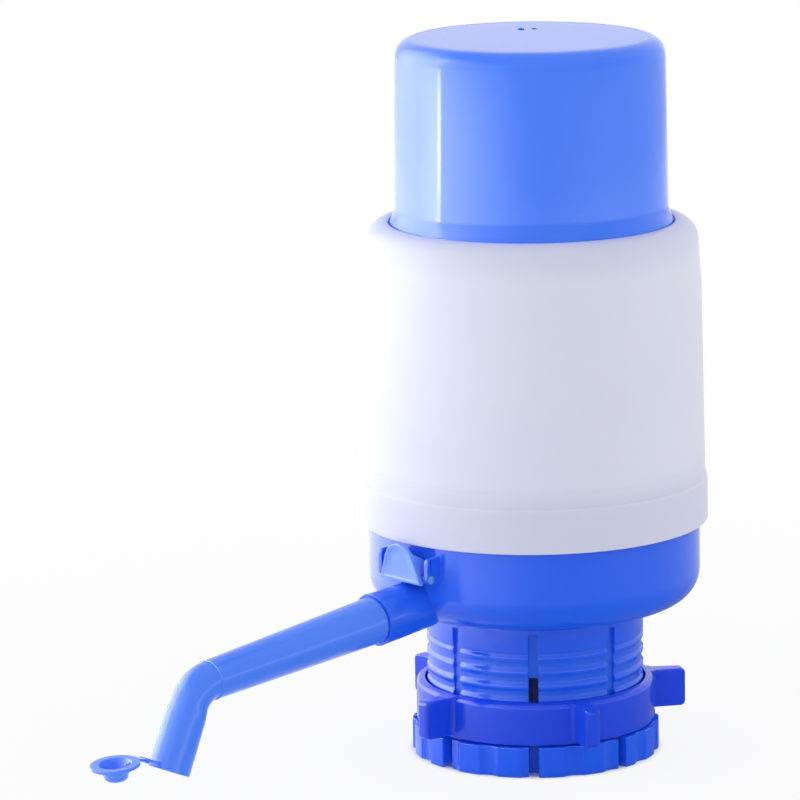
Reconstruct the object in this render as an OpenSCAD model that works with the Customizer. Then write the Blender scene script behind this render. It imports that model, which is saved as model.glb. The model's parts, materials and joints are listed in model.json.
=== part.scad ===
// Hand pump for a large water jug: a press cap squeezes a bellows inside a white cover,
// and a split threaded collar with a wing nut clamps the pump on the jug's neck.
// The pump stands upright on its collar. Front is -Y, where the spout leaves the base.

/* [Jug neck] */
// Bore of the collar's lip, for a jug neck of 55 mm
neck_d = 55.5; // [50:0.1:60]
// Height of the part of the bore that fits the neck closely
neck_lip_h = 6; // [5:0.1:8]
// Extra radius of the bore above the lip
neck_relief = 0.4; // [0.35:0.05:0.6]
// Depth from the collar's foot to the gasket
neck_depth = 39.4; // [36:0.1:44]
// Thickness of the gasket that seals the neck's top edge
gasket_h = 2.4; // [2:0.1:3]
// How much narrower than the neck's radius the gasket's is
gasket_inset = 0.5; // [0.4:0.05:1]
// Width of the gasket's ring
gasket_w = 6.75; // [5:0.05:8]

/* [Collar] */
// Thickness of the sleeve at the crests of its thread
sleeve_wall = 2; // [1.8:0.1:2.6]
// Depth of the thread
thread_depth = 0.5; // [0.4:0.05:0.7]
// Height of the plain sleeve above the highest thread ridge
thread_top_gap = 8; // [5:0.1:8.4]
// Height of the lowest thread ridge above the foot flange
thread_low_gap = 4; // [1.2:0.1:4.4]
// Number of thread ridges
thread_count = 6; // [4:1:7]
// Width of a thread ridge at its foot
thread_foot_w = 2.3; // [1.8:0.1:2.6]
// Width of a thread ridge at its crest
thread_crest_w = 0.8; // [0.5:0.1:1.1]
// Number of slots that split the collar into fingers
slot_count = 8; // [4:1:10]
// Width of a slot
slot_w = 2.6; // [2:0.1:4]
// Height of the solid band between the slots' ends and the shoulder
slot_band = 1.5; // [0.6:0.1:3]
// Thickness of the thin web that closes a slot on its inner side
web_t = 0.5; // [0.4:0.05:0.6]
// Height up to which every other slot is open below its web
window_top = 26.5; // [23:0.5:30]
// How far the scalloped foot flange stands out
foot_out = 4.15; // [3.5:0.05:5]
// Height of the foot flange
foot_h = 8.3; // [7:0.1:9.2]
// Radius of a scallop in the foot flange
scallop_r = 4.6; // [4:0.1:6]
// Depth of a scallop
scallop_depth = 1; // [0.5:0.1:1.3]
// Number of scallops round the flange
scallop_count = 18; // [8:1:20]
// Turn of the scallops from the front
scallop_turn = 3.6; // [0:0.1:10]
// Wall of the spigot that holds the collar in the base
spigot_wall = 1.25; // [1:0.05:1.4]
// Thickness of the collar above the gasket
collar_roof = 1.8; // [1.5:0.1:2.5]
// Height of the spigot inside the base
spigot_h = 3.6; // [3:0.1:4]

/* [Wing nut] */
// Radial clearance between the nut and the thread
nut_gap = 0.5; // [0.3:0.05:0.6]
// Radial clearance between the nut's thread and the root of the collar's
nut_thread_gap = 0.3; // [0.25:0.05:0.35]
// Wall of the nut
nut_wall = 2.45; // [2:0.05:3.5]
// Height of the nut
nut_h = 11.7; // [11.2:0.1:16]
// Radius of the nut's rounded top edge
nut_edge_r = 1.6; // [0.8:0.1:1.9]
// How far the wings stand out of the nut
wing_out = 9.3; // [6:0.1:12]
// Thickness of a wing
wing_t = 4.2; // [3.4:0.1:4.6]
// Height of a wing
wing_h = 10.5; // [8:0.1:11]
// Height of a wing's lower edge above the nut's lower face
wing_lift = 1; // [0.2:0.1:2]
// Radius of a wing's corners
wing_corner_r = 1.5; // [0.5:0.1:2]
// Radius of the hollow curve between a wing and the nut's side
wing_root = 1.3; // [0.8:0.1:2.4]
// Radius of the two upright edges at a wing's end
wing_tip_r = 1.3; // [0.5:0.1:1.6]

/* [Base] */
// How far the base's side stands out beyond the collar's sleeve
bowl_out = 15.55; // [13:0.05:18]
// Wall of the base
base_wall = 2.2; // [1.8:0.1:2.6]
// Radius of the rounded lower edge
base_edge_r = 9; // [7:0.1:10]
// Slope of the underside
base_slope = 14.5; // [12:0.5:17]
// Height from the collar's shoulder to the rim where the cover rests
base_h = 38; // [34:0.1:44]
// Thickness of the floor over the jug's neck
floor_t = 1.8; // [1.5:0.1:2.4]
// Number of air holes in the floor
air_hole_count = 3; // [3:1:5]
// Diameter of an air hole
air_hole_d = 5; // [3:0.1:6]
// Distance of the air holes' middles from the gasket's bore
air_hole_inset = 4.5; // [3.5:0.1:6]
// Depth of the ledge that carries the valve plate below the rim
ledge_depth = 12; // [10:0.1:14]
// Width of that ledge
ledge_w = 2.2; // [1.5:0.1:3]

/* [Water passage] */
// Bore of the passage in the base
passage_d = 7.2; // [6:0.1:8]
// Wall of the passage
passage_wall = 1.6; // [1.2:0.1:2]
// Height of the passage's corner above the collar's top
passage_rise = 8.64; // [8:0.02:10]
// Outer diameter of the nozzle that carries the dip tube's coupling
nozzle_d = 9.4; // [8.5:0.1:11]
// Wall of the nozzle
nozzle_wall = 1.5; // [1.2:0.1:2]
// Height of the nozzle's lower end
nozzle_z = 14.6; // [13:0.1:17]
// Wall of the coupling round the nozzle
coupling_wall = 2.05; // [1.5:0.05:3]
// Bore of the coupling, for a dip tube of 8 mm
tube_bore_d = 8.2; // [7:0.1:9]
// How far the coupling reaches over the nozzle
coupling_grip = 6.9; // [5:0.1:8]
// Depth of the coupling's bore below the nozzle
tube_grip = 6.95; // [5:0.05:7.5]

/* [Spout] */
// How far the socket's mouth stands out of the base
socket_out = 14.6; // [12:0.1:18]
// Angle by which the arm droops
arm_droop = 5.8; // [4:0.1:7]
// Bore of the socket
socket_bore_d = 10.5; // [10:0.1:12]
// Wall of the socket at its mouth
socket_wall = 1.95; // [1.6:0.05:2.4]
// How much thinner the socket's wall is near the base
socket_taper = 0.3; // [0.1:0.1:0.5]
// Depth of the socket
socket_depth = 17.4; // [16:0.1:19]
// Length of the arm from the socket's mouth to the bend's corner
arm_len = 63.1; // [50:0.1:80]
// Step from the socket down to the arm
arm_step = 0.8; // [0.5:0.1:1.2]
// How much the arm's radius shrinks towards the bend
arm_taper = 1.05; // [0.6:0.05:1.3]
// Radius of the bend along its middle
bend_r = 9; // [7:0.1:11]
// Angle by which the leg turns down from the arm
bend_angle = 60; // [50:1:70]
// Length of the leg from the bend's corner to its end
leg_len = 23.1; // [20:0.1:30]
// How much the bend's radius is less than the arm's end
bend_neck = 0.2; // [0.1:0.05:0.3]
// How much the leg's radius grows below the bend
leg_flare = 0.35; // [0.2:0.05:0.5]
// How much more it grows down to the leg's end
leg_taper = 0.2; // [0.1:0.05:0.4]
// Wall of the spout at its spigot
spout_wall = 1.8; // [1.5:0.1:2.2]
// Wall of the leg round its wider outlet
outlet_wall = 1; // [0.9:0.1:1.4]
// Length of the outlet's wider bore
outlet_depth = 12; // [8:0.1:13]
// Radial clearance of the spout in its socket
swivel_gap = 0.05; // [0.02:0.01:0.1]
// Thickness of the O-ring on the spout
oring_t = 0.74; // [0.6:0.02:0.9]
// Distance of the O-ring from the socket's mouth
oring_pos = 8; // [5:0.5:12]

/* [Spout cap] */
// How far the spout cap's flange reaches beyond the leg's side
cap_flange_out = 0.8; // [0.5:0.1:1.2]
// Thickness of the flange
cap_flange_t = 0.9; // [0.7:0.1:1.2]
// Radial clearance of the plug in the outlet
plug_gap = 0.25; // [0.15:0.05:0.4]
// How much the plug's radius shrinks to its end
plug_taper = 1.2; // [0.6:0.05:1.4]
// Length of the plug
plug_h = 3.4; // [3:0.1:4.4]
// Wall of the plug
plug_wall = 0.8; // [0.6:0.1:1]
// How much wider the dish in the flange is than the plug's bore
dish_draw = 0.7; // [0.3:0.1:0.9]
// Distance of the strap's hinge from the leg's side
hinge_out = 3.7; // [3.4:0.1:5]
// Height of the strap's hinge above the leg's end
hinge_up = 0.8; // [0.7:0.1:1.6]
// Width of the strap
strap_w = 4.2; // [3:0.1:5]
// Thickness of the strap
strap_t = 0.7; // [0.5:0.1:0.9]
// Angle by which the open cap stands away from its closed place
cap_open_angle = 150; // [120:1:155]

/* [Release lever] */
// Distance of the lever's pin from the base's side
lever_pin_out = 2.3; // [2.2:0.1:2.8]
// Height of the lever's pin above the tab's lower edge
lever_pin_up = 1.6; // [1.5:0.1:2]
// Diameter of the lever's pin
lever_pin_d = 1.6; // [1.4:0.1:1.8]
// Clearance between the tab and the top of the spout's socket
tab_gap = 0.6; // [0.5:0.1:1]
// Width of the lever's tab at its lower edge
tab_w = 16; // [14.6:0.1:18]
// Height of the tab
tab_h = 10.5; // [10:0.1:11.5]
// Radius of the tab's rounded top
tab_round_r = 5.6; // [5:0.1:5.8]
// Distance from the pin to the tab's front face at its lower edge
tab_front_out = 2.4; // [2.2:0.1:3]
// How much further out the front face is at the tab's top
tab_lean = 1; // [0.6:0.1:1.6]
// Thickness of the tab
tab_t = 1.3; // [1:0.1:1.6]
// Width of the lever's hub behind the tab
hub_w = 12.8; // [12.4:0.1:14]
// Thickness of a lug that holds the pin
lug_t = 1.4; // [1.2:0.1:2.2]
// Radius of a lug's end
lug_r = 1.4; // [1.3:0.1:1.9]
// Height of a lug's round top above the lever's pin
lug_rise = 4.4; // [1:0.1:4.8]
// Height of the vent above the pin
vent_up = 2.8; // [2.7:0.1:3.2]
// Bore of the vent
vent_d = 1.8; // [1.4:0.1:2.2]
// Diameter of the rubber pad on the lever
pad_d = 3.4; // [3:0.1:3.4]
// Thickness of the rubber pad
pad_t = 1.1; // [0.9:0.1:1.2]

/* [Cover] */
// Height by which the cover's skirt reaches down over the base
skirt_h = 13.1; // [10:0.1:14]
// Radial clearance between the skirt and the base
skirt_gap = 0.3; // [0.2:0.05:0.6]
// Thickness of the cover
cover_wall = 1.8; // [1.6:0.05:2.2]
// How much the skirt's radius grows to its lower edge
skirt_draft = 0.1; // [0.05:0.05:0.4]
// Height from the skirt's top to the base's rim
skirt_top_gap = 1.2; // [0.8:0.1:2.5]
// Step from the skirt in to the cover's side
skirt_step = 0.6; // [0.4:0.1:1]
// Height of the cover above the base's rim
cover_h = 69.3; // [60:0.1:80]
// How much the cover's radius shrinks up its side
cover_taper = 0.9; // [0.5:0.1:2]
// Height of the part below the shoulder that curves in
shoulder_run = 10.8; // [6:0.1:15]
// How much that part curves in
shoulder_draw = 0.8; // [0.4:0.1:1.2]
// Radius of the shoulder
shoulder_r = 5.5; // [5:0.1:6]
// How far the opening's edge reaches in from the shoulder's top
opening_lip = 0.6; // [0.4:0.1:1]
// How much lower the opening's edge is than the shoulder's top
opening_drop = 0.5; // [0.3:0.1:0.8]
// Thickness of the guide collar below the opening
guide_t = 1.5; // [1.2:0.1:1.6]
// Height of the guide collar, from the shoulder's top
guide_h = 5.1; // [4.6:0.1:5.4]

/* [Press cap] */
// Height of the press cap above the cover
cap_h = 49.5; // [47:0.1:60]
// Radial clearance between the cap and the opening
cap_gap = 0.4; // [0.3:0.05:0.6]
// How much the cap's radius grows in the flare above the cover
cap_flare = 1.5; // [0.8:0.1:2]
// Height of that flare above the opening's edge
cap_flare_h = 4.2; // [3:0.1:8]
// How much the cap's radius shrinks from the flare to the top
cap_taper = 0.7; // [0.4:0.1:1.5]
// How far the lip that stops the cap at the top stands out
cap_lip_w = 2; // [1.6:0.1:2.4]
// Height of that lip
cap_lip_h = 2.4; // [2:0.1:3]
// Radius of the cap's rounded top edge
cap_edge_r = 4.8; // [3:0.1:5.5]
// Wall of the cap
cap_wall = 2; // [1.6:0.1:2.2]
// Thickness of the cap's top
cap_roof_t = 2.5; // [2:0.1:3]
// Gap between the cap's lip and the guide collar at rest
cap_stop_gap = 0.2; // [0.1:0.05:0.3]

/* [Bellows] */
// Radial clearance between the bellows and the cap
bellows_gap = 3.4; // [2.5:0.1:5]
// Depth of the folds
fold_depth = 7; // [5:0.1:9]
// Thickness of the bellows
bellows_wall = 0.9; // [0.7:0.1:1.2]
// Number of folds
fold_count = 12; // [8:1:14]
// Thickness of the plates under and on top of the bellows
plate_t = 2.4; // [2:0.1:3]
// How far the ring grips the bellows' foot
foot_grip = 1.8; // [1.4:0.1:2.4]
// Thickness of the bellows' foot
bellows_foot_t = 1.5; // [1:0.1:2]
// Radial distance from the valve plate's edge to the ring that holds the foot down
ring_inset = 2.8; // [2:0.1:4]
// Width of that ring
ring_w = 8; // [7:0.1:9]
// Thickness of that ring
ring_t = 2.4; // [2:0.1:3]
// Number of screws in the ring
screw_count = 4; // [3:1:6]
// Diameter of a screw's shank
screw_d = 1.8; // [1.6:0.1:2.2]
// Diameter of a screw's head
screw_head_d = 4; // [3:0.1:4.6]
// Thickness of a screw's head
screw_head_t = 1.4; // [1:0.1:1.8]
// How far a screw's tip stops short of the valve plate's underside
screw_rest = 0.3; // [0.2:0.1:0.6]
// Radial distance from the bellows to the top plate's edge
top_plate_inset = 1; // [0.5:0.1:2]
// Height of the top plate's rim
top_rim_h = 2.6; // [2:0.1:3]
// Width of the top plate's rim
top_rim_w = 3; // [2:0.1:4]

/* [Valves and springs] */
// Radial distance from the spring's boss to a rubber valve's disc
valve_inset = 5; // [4:0.1:6]
// Thickness of a rubber valve's disc
valve_t = 0.8; // [0.6:0.1:1]
// Diameter of a rubber valve's stem
valve_stem_d = 3; // [2:0.1:3.4]
// Diameter of an air port
port_d = 3.6; // [3:0.1:4]
// Number of air ports under each valve
port_count = 6; // [4:1:6]
// Radial distance from the bellows' folds to the middle of the return spring's wire
spring_inset = 5; // [3:0.1:6]
// Thickness of the return spring's wire
spring_wire_d = 1.8; // [1.4:0.1:2.2]
// Number of turns of the return spring
spring_turns = 10; // [6:1:14]
// Radial clearance between the return spring and the bosses that centre it
boss_gap = 2.1; // [1.5:0.1:3]
// Wall of those bosses
boss_wall = 1.4; // [1:0.1:2]
// Height of those bosses
spring_boss_h = 3.2; // [2:0.1:4]
// Thickness of the lever spring's wire
lever_wire_d = 0.5; // [0.4:0.05:0.5]
// Clearance between the lever spring's coil and the pin
lever_coil_gap = 0.3; // [0.25:0.05:0.35]

/* [Hidden] */
$fn = 96;

// Shared clearances and the overrun of every cut
seat_gap = 0.3;
slide_gap = 0.05;
cut_over = 1;

// Directions of the nut's wings, counted from the front
wing_angles = [-82.5, -1, 68, 147, 212];

// Collar and neck
neck_r = neck_d / 2;
relief_r = neck_r + neck_relief;
sleeve_r = neck_r + sleeve_wall;
thread_root_r = sleeve_r - thread_depth;
gasket_r = neck_r - gasket_inset;
gasket_in_r = gasket_r - gasket_w;
gasket_top = neck_depth + gasket_h;
spigot_top = gasket_top + collar_roof;
collar_h = spigot_top - spigot_h;
spigot_r = gasket_r + slide_gap + spigot_wall;
spigot_bore_r = spigot_r + slide_gap;
foot_r = sleeve_r + foot_out;
slot_root_r = neck_r - sleeve_wall;
slot_top = collar_h - slot_band;
web_r = relief_r + web_t;
thread_top = collar_h - thread_top_gap;
thread_low = foot_h + thread_low_gap;
thread_pitch = (thread_top - thread_low) / (thread_count - 1);

// Wing nut
nut_bore_r = sleeve_r + nut_gap;
nut_z = foot_h + seat_gap;
nut_top = nut_z + nut_h;
nut_r = nut_bore_r + nut_wall;
nut_crest_r = thread_root_r + nut_thread_gap;
wing_z = nut_z + wing_lift;
wing_root_w = wing_t + 2 * wing_root;
wing_root_x = sqrt(pow(nut_r, 2) - pow(wing_root_w / 2, 2)) + wing_root;
wing_end_x = nut_r + wing_out - wing_tip_r;

// Base
base_r = sleeve_r + bowl_out;
base_in_r = base_r - base_wall;
base_top = collar_h + base_h;
ledge_z = base_top - ledge_depth;
edge_mid_r = base_r - base_edge_r;
edge_in_r = base_edge_r - base_wall;
edge_end_r = edge_mid_r + base_edge_r * sin(base_slope);
edge_end_z = collar_h + (edge_end_r - sleeve_r) * tan(base_slope);
edge_mid_z = edge_end_z + base_edge_r * cos(base_slope);
edge_in_end_r = edge_mid_r + edge_in_r * sin(base_slope);
edge_in_end_z = edge_mid_z - edge_in_r * cos(base_slope);
floor_top = spigot_top + floor_t;
floor_ring_r = spigot_bore_r + base_wall;
floor_ring_z = edge_in_end_z - (edge_in_end_r - floor_ring_r) * tan(base_slope);
air_hole_pos = gasket_in_r - air_hole_inset;

// Water passage, which runs down from the socket's line where that meets the pump's axis
passage_r = passage_d / 2;
passage_out_r = passage_r + passage_wall;
passage_z = spigot_top + passage_rise;
socket_reach = base_r + socket_out;
socket_z = passage_z - socket_reach * tan(arm_droop);
passage_len = socket_reach / cos(arm_droop);
riser_r = passage_out_r + passage_wall / 4;
riser_top = passage_z + passage_out_r + passage_wall / 2;
nozzle_r = nozzle_d / 2;
nozzle_bore_r = nozzle_r - nozzle_wall;
coupling_r = nozzle_r + slide_gap + coupling_wall;
tube_stop_z = nozzle_z - slide_gap;
tube_stop_t = 0.6;
tube_bore_top = tube_stop_z - tube_stop_t;
coupling_z = tube_bore_top - tube_grip;
coupling_h = nozzle_z + coupling_grip - coupling_z;

// Spout
socket_bore_r = socket_bore_d / 2;
socket_r = socket_bore_r + socket_wall;
socket_root_r = socket_r - socket_taper;
spigot_out_r = socket_bore_r - swivel_gap;
spigot_in_z = -(socket_depth - seat_gap);
shoulder_gap = 0.1;
arm_r = socket_r - arm_step;
arm_tip_r = arm_r - arm_taper;
bend_out_r = arm_tip_r - bend_neck;
bend_tangent = bend_r * tan(bend_angle / 2);
leg_top_r = bend_out_r + leg_flare;
leg_r = leg_top_r + leg_taper;
leg_blend_h = 3;
bend_overlap = 0.3;
bend_step = 0.03;
spout_bore_r = spigot_out_r - spout_wall;
outlet_r = leg_r - outlet_wall;
groove_root_r = spigot_out_r - oring_t;
oring_r = oring_t / 2;
oring_mid_r = (groove_root_r + socket_bore_r) / 2;
groove_w = oring_t + 2 * slide_gap;

// Spout cap
cap_flange_r = leg_r + cap_flange_out;
plug_r = outlet_r - plug_gap;
plug_tip_r = plug_r - plug_taper;
plug_round_r = 1.4;
plug_in_r = plug_r - plug_wall;
plug_in_tip_r = plug_tip_r - plug_wall;
hinge_pos = leg_r + hinge_out;
hinge_bead_r = 0.55;
strap_clear = hinge_bead_r + seat_gap;
strap_root_r = leg_r - strap_t;
strap_end = [cap_flange_r - strap_t, seat_gap + slide_gap];
strap_rise = strap_end[1] + hinge_up;
strap_run = hinge_pos - strap_end[0];

// Release lever, which stands over the socket
lever_pin_r = base_r + lever_pin_out;
tab_front_r = lever_pin_r + tab_front_out;
socket_crest_z = passage_z - tab_front_r * tan(arm_droop) + socket_r / cos(arm_droop);
tab_bottom_z = socket_crest_z + tab_gap;
tab_top_z = tab_bottom_z + tab_h;
lever_pin_z = tab_bottom_z + lever_pin_up;
vent_z = lever_pin_z + vent_up;
tab_round_z = tab_top_z - tab_round_r;
tab_corner_dist = norm([tab_w / 2, tab_bottom_z - tab_round_z]);
tab_tangent_angle = atan2(tab_bottom_z - tab_round_z, tab_w / 2)
    + acos(tab_round_r / tab_corner_dist);
vent_seat_h = 0.4;
lever_back_r = base_r + vent_seat_h + seat_gap;
pad_r = pad_d / 2;
lever_back_z = vent_z + pad_r + cut_over / 10;
lever_heel = 0.6;
lever_pin_radius = lever_pin_d / 2;
lever_pin_bore_r = lever_pin_radius + slide_gap;
lug_x = tab_w / 2 + seat_gap;
lug_h = lug_rise + 2 * lug_r;
pin_len = 2 * (lug_x + lug_t) + seat_gap;

// Cover
cover_z = base_top - skirt_h;
skirt_in_r = base_r + skirt_gap;
skirt_top_r = skirt_in_r + cover_wall;
skirt_r = skirt_top_r + skirt_draft;
skirt_top_z = base_top - skirt_top_gap;
cover_foot_r = skirt_top_r - skirt_step;
cover_foot_in_r = cover_foot_r - cover_wall;
cover_foot_z = base_top + cover_wall + slide_gap;
cover_top = base_top + cover_h;
cover_head_r = cover_foot_r - cover_taper;
cover_head_in_r = cover_head_r - cover_wall;
cover_head_z = cover_top - shoulder_r - shoulder_run;
shoulder_z = cover_top - shoulder_r;
shoulder_mid_r = cover_head_r - shoulder_draw - shoulder_r;
shoulder_in_r = shoulder_r - cover_wall;
opening_r = shoulder_mid_r - opening_lip;
opening_z = cover_top - opening_drop;
guide_r = opening_r + guide_t;
guide_z = cover_top - guide_h;
guide_angle = acos((guide_r - shoulder_mid_r) / shoulder_in_r);

// Press cap
pump_h = cover_top + cap_h;
cap_roof_z = pump_h - cap_roof_t;
cap_skirt_r = opening_r - cap_gap;
cap_side_r = cap_skirt_r - cap_flare;
cap_head_r = cap_side_r - cap_taper;
cap_flare_z = opening_z + cap_flare_h;
cap_lip_r = cap_skirt_r + cap_lip_w;
cap_lip_top = guide_z - cap_stop_gap;
cap_lip_z = cap_lip_top - cap_lip_h;
cap_inner_edge_r = cap_edge_r - cap_wall / 2;
cap_head_in_r = cap_head_r - cap_wall;
flare_steps = 8;

// Plates, bellows and springs
plate_top = ledge_z + plate_t;
plate_r = base_in_r - seat_gap;
top_plate_z = cap_roof_z - top_rim_h - plate_t;
bellows_r = cap_head_in_r - bellows_gap;
bellows_root_r = bellows_r - fold_depth;
top_plate_r = bellows_r - top_plate_inset;
bellows_skin = 1.3 * bellows_wall;
bellows_z = plate_top + bellows_foot_t;
bellows_top = top_plate_z - seat_gap - bellows_foot_t;
fold_h = (bellows_top - bellows_z) / fold_count;
ring_r = plate_r - ring_inset;
ring_in_r = ring_r - ring_w;
bellows_foot_r = ring_in_r + foot_grip;
ring_foot_r = bellows_foot_r + seat_gap;
ring_z = bellows_z + slide_gap;
ring_top = ring_z + ring_t;
screw_pos = (ring_foot_r + ring_r) / 2;
screw_r = screw_d / 2;
screw_tip_z = ledge_z + screw_rest;
screw_len = ring_top - screw_tip_z;
screw_slot_w = 0.6;
spring_r = bellows_root_r - spring_inset;
spring_wire_r = spring_wire_d / 2;
spring_boss_r = spring_r - spring_wire_r - boss_gap;
spring_z = plate_top + spring_wire_r + slide_gap;
spring_top = top_plate_z - spring_wire_r - slide_gap;
spring_pitch = (spring_top - spring_z) / spring_turns;
valve_r = spring_boss_r - valve_inset;
valve_stem_r = valve_stem_d / 2;
valve_knob_r = 1.4 * valve_stem_r;
valve_knob_h = 1.2;
port_pos = (valve_stem_r + valve_r) / 2;
lever_wire_r = lever_wire_d / 2;
lever_coil_r = lever_pin_radius + lever_coil_gap + lever_wire_r;
lever_coil_turns = 2.5;
lever_coil_pitch = 1.05;
lever_coil_w = lever_coil_turns * lever_coil_pitch;
lever_coil_x = 2.3;
lever_leg = 1.5;
lever_pocket_x = lever_coil_x - lever_wire_r - slide_gap;
lever_pocket_w = lever_coil_w + lever_wire_d + 2 * slide_gap;
lever_pocket_r = lever_pin_r + lever_coil_r + lever_wire_r + slide_gap;
lever_pocket_top = lever_pin_z + lever_coil_r + lever_wire_r + seat_gap;

// Rings and sides of the spring wires
wire_sides = 6;
curl_rings = 8;

blue = "#4b76ee";
deep_blue = "#3f68e2";
milk = "#e9eaf3";
rubber = "#4a4d52";
steel = "#b9bdc4";

// Points of an arc about (x, y), from angle a to angle b
function arc(x, y, r, a, b, n = 8) =
    [for (i = [0:n]) let (t = a + (b - a) * i / n) [x + r * cos(t), y + r * sin(t)]];

function unit(v) = v / norm(v);

// Direction of a path at its point i
function along(path, i) =
    unit(path[min(i + 1, len(path) - 1)] - path[max(i - 1, 0)]);

// Points of the tube's ring at point i of the path
function tube_ring(path, i, r, axis) =
    let (a = unit(cross(along(path, i), axis)), b = cross(along(path, i), a))
    [for (k = [0:wire_sides - 1]) let (t = 360 * k / wire_sides)
        path[i] + r * (a * cos(t) + b * sin(t))];

// A closed tube of radius r along a path that never runs along axis
module tube(path, r, axis) {
    n = len(path);
    m = wire_sides;
    points = [for (i = [0:n - 1]) each tube_ring(path, i, r, axis)];
    sides = [for (i = [0:n - 2]) for (k = [0:m - 1]) let (
        p = i * m + k,
        q = i * m + (k + 1) % m
    ) each [[p, q, q + m], [p, q + m, p + m]]];
    first_end = [for (k = [1:m - 2]) [0, k + 1, k]];
    last_end = [for (k = [1:m - 2]) [0, k, k + 1] + (n - 1) * m * [1, 1, 1]];
    polyhedron(points = points, faces = concat(sides, first_end, last_end));
}

// Frame of the spout's arm: +Z runs outward from the socket's mouth, +Y is its upper side
module at_socket() translate([0, -socket_reach, socket_z]) rotate([90 + arm_droop, 0, 0]) children();

// Frame of the spout's leg: +Z runs down the leg from the bend's corner, +Y is its outer side
module at_leg() at_socket() translate([0, 0, arm_len]) rotate([bend_angle, 0, 0]) children();

// Frame of the strap's hinge, turned as the leg's
module at_hinge() at_leg() translate([0, hinge_pos, leg_len - hinge_up]) children();

// Extrudes an outline drawn as (distance to the front, height) across the width w
module across(w) rotate([90, 0, -90]) linear_extrude(height = w, center = true) children();

// A rectangle whose two outer corners are rounded
module rounded_end(x0, x1, y0, y1, r) {
    translate([x0, y0]) square([x1 - x0 - r, y1 - y0]);
    translate([x0, y0 + r]) square([x1 - x0, y1 - y0 - 2 * r]);
    for (y = [y0 + r, y1 - r]) translate([x1 - r, y]) circle(r);
}

module press_cap() color(blue) rotate_extrude() polygon(concat(
    [[0, pump_h]],
    arc(cap_head_r - cap_edge_r, pump_h - cap_edge_r, cap_edge_r, 90, 0),
    [
        for (i = [0:flare_steps]) let (t = 90 * i / flare_steps)
            [cap_skirt_r - cap_flare * cos(t), cap_flare_z - cap_flare_h * sin(t)],
        [cap_skirt_r, cap_lip_top],
        [cap_lip_r, cap_lip_top],
        [cap_lip_r, cap_lip_z],
        [cap_skirt_r - cap_wall, cap_lip_z],
        [cap_skirt_r - cap_wall, opening_z],
        [cap_side_r - cap_wall, cap_flare_z],
    ],
    arc(cap_head_in_r - cap_inner_edge_r, cap_roof_z - cap_inner_edge_r, cap_inner_edge_r, 0, 90),
    [[0, cap_roof_z]]
));

// A rubber umbrella valve hanging under a plate whose lower face is at z
module umbrella_valve(z) {
    translate([0, 0, z - valve_t]) cylinder(h = valve_t, r = valve_r);
    translate([0, 0, z - valve_t / 2]) cylinder(h = plate_t + valve_t / 2, r = valve_stem_r);
    translate([0, 0, z + plate_t])
        cylinder(h = valve_knob_h, r1 = valve_knob_r, r2 = valve_stem_r / 2);
}

// Holes that an umbrella valve needs in its plate
module valve_holes(z) {
    translate([0, 0, z - cut_over]) cylinder(h = plate_t + 2 * cut_over, r = valve_stem_r + slide_gap);
    for (i = [0:port_count - 1]) rotate(360 * i / port_count)
        translate([port_pos, 0, z - cut_over]) cylinder(h = plate_t + 2 * cut_over, d = port_d);
}

// A boss that centres the return spring
module spring_boss(z) translate([0, 0, z]) difference() {
    cylinder(h = spring_boss_h, r = spring_boss_r);
    translate([0, 0, -cut_over]) cylinder(h = spring_boss_h + 2 * cut_over, r = spring_boss_r - boss_wall);
}

module bellows_top_plate() color(milk) difference() {
    union() {
        translate([0, 0, top_plate_z]) cylinder(h = plate_t + top_rim_h, r = top_plate_r);
        spring_boss(top_plate_z - spring_boss_h);
    }
    translate([0, 0, top_plate_z + plate_t])
        cylinder(h = top_rim_h + cut_over, r = top_plate_r - top_rim_w);
    valve_holes(top_plate_z);
    for (i = [0:3]) rotate(90 * i)
        translate([0, -port_d / 2, top_plate_z + plate_t])
            cube([top_plate_r + cut_over, port_d, top_rim_h + cut_over]);
}

module intake_valve() color(rubber) umbrella_valve(top_plate_z);

module outer_cover() color(milk) rotate_extrude() polygon(concat(
    [
        [skirt_in_r, cover_z],
        [skirt_r, cover_z],
        [skirt_top_r, skirt_top_z],
        [cover_foot_r, cover_foot_z],
        [cover_head_r, cover_head_z],
    ],
    arc(shoulder_mid_r, shoulder_z, shoulder_r, 0, 90, 12),
    [
        [opening_r, opening_z],
        [opening_r, guide_z],
        [guide_r, guide_z],
    ],
    arc(shoulder_mid_r, shoulder_z, shoulder_in_r, guide_angle, 0),
    [
        [cover_head_in_r, cover_head_z],
        [cover_foot_in_r, base_top],
        [skirt_in_r, base_top],
    ]
));

module bellows() color(milk) rotate_extrude() polygon(concat(
    [
        [bellows_root_r - bellows_skin, plate_top],
        [bellows_foot_r, plate_top],
        [bellows_foot_r, bellows_z],
        [bellows_root_r, bellows_z],
    ],
    [for (i = [0:fold_count - 1]) each [
        [bellows_r, bellows_z + (i + 0.5) * fold_h],
        [bellows_root_r, bellows_z + (i + 1) * fold_h],
    ]],
    [
        [bellows_r - bellows_skin, bellows_top],
        [bellows_r - bellows_skin, bellows_top + bellows_foot_t],
        [bellows_root_r - bellows_skin, bellows_top + bellows_foot_t],
    ],
    [for (i = [fold_count - 1:-1:0]) each [
        [bellows_root_r - bellows_skin, bellows_z + (i + 1) * fold_h],
        [bellows_r - bellows_skin, bellows_z + (i + 0.5) * fold_h],
    ]]
));

// Points of a spring about Z
return_path = [for (i = [0:spring_turns * curl_rings]) let (t = 360 * i / curl_rings) [
    spring_r * cos(t),
    spring_r * sin(t),
    spring_z + spring_pitch * i / curl_rings,
]];
echo(return_spring_gap = spring_pitch - spring_wire_d);

module return_spring() color(steel) tube(return_path, spring_wire_r, [0, 0, 1]);

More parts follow.
